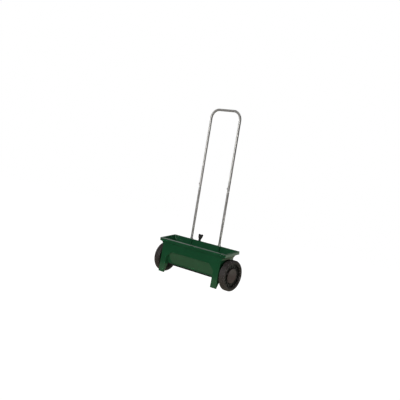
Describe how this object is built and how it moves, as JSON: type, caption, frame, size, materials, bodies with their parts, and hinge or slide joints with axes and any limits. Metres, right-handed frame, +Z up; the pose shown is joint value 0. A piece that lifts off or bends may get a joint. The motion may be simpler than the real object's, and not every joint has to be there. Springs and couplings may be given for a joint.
{
  "type": "drop spreader",
  "caption": "Push drop spreader with a long green hopper on two wheels and two front legs, a tall U-shaped tube handle and a flow lever behind the hopper.",
  "frame": {"origin": "on the ground, under the middle of the bounding box, with the spreader parked on its two wheels and two front legs", "axes": "+X to the right hand of the front view, along the axle; +Y to the rear, towards the person pushing; +Z up"},
  "size_m": [0.606, 0.2144, 1.1514],
  "materials": {
    "green_plastic": "satin moulded",
    "black_plastic": "moulded",
    "grip_black": "fine texture",
    "grey_plastic": "moulded",
    "bush_plastic": "moulded",
    "wheel_black": "moulded",
    "tyre_black": "moulded tread",
    "cap_grey": "satin",
    "collar_grey": "moulded",
    "zinc_steel": "zinc plated",
    "axle_steel": "drawn",
    "spigot_steel": "bright",
    "handle_steel": "bright plated",
    "scale_aluminium": "satin"
  },
  "bodies": {
    "frame": {"hopper": "green_plastic", "wind_skirt": "black_plastic", "drop_plate": "zinc_steel", "front_guide": "black_plastic", "rear_guide": "black_plastic", "guide_screws": "zinc_steel", "pivot_screw": "zinc_steel", "flow_scale": "scale_aluminium", "right_bush": "bush_plastic", "left_bush": "bush_plastic", "upper_handle": "handle_steel", "right_lower_tube": "handle_steel", "left_lower_tube": "handle_steel", "right_spigot": "spigot_steel", "left_spigot": "spigot_steel", "joint_screws": "zinc_steel", "socket_screws": "zinc_steel", "right_collar": "collar_grey", "left_collar": "collar_grey"},
    "drive": {"axle": "axle_steel", "agitator": "grey_plastic", "axle_washers": "zinc_steel", "right_wheel": "wheel_black", "right_tyre": "tyre_black", "right_hub_cap": "cap_grey", "drive_pin": "zinc_steel", "retaining_rings": "zinc_steel"},
    "idler": {"left_wheel": "wheel_black", "left_tyre": "tyre_black", "left_hub_cap": "cap_grey"},
    "lever": {"flow_lever": "black_plastic", "lever_grip": "grip_black"},
    "gate": {"shutter": "black_plastic", "link_pin": "zinc_steel"}
  },
  "joints": [
    {"name": "drive_spin", "type": "hinge", "parent": "frame", "child": "drive", "pos_m": [0, 0.00719, 0.1], "axis": [1, 0, 0], "continuous": true},
    {"name": "idler_spin", "type": "hinge", "parent": "frame", "child": "idler", "pos_m": [-0.281, 0.00719, 0.1], "axis": [1, 0, 0], "continuous": true},
    {"name": "flow_lever_turn", "type": "hinge", "parent": "frame", "child": "lever", "pos_m": [-0.064, 0.05061, 0.12901], "axis": [0, 0.9994, -0.0349], "range_deg": [0, 13.5]},
    {"name": "shutter_slide", "type": "slide", "parent": "frame", "child": "gate", "axis": [-1, 0, 0], "range_m": [0, 0.012]}
  ],
  "couplings": [
    {"joint": "shutter_slide", "follows": "flow_lever_turn", "m_per_rad": 0.05093}
  ]
}
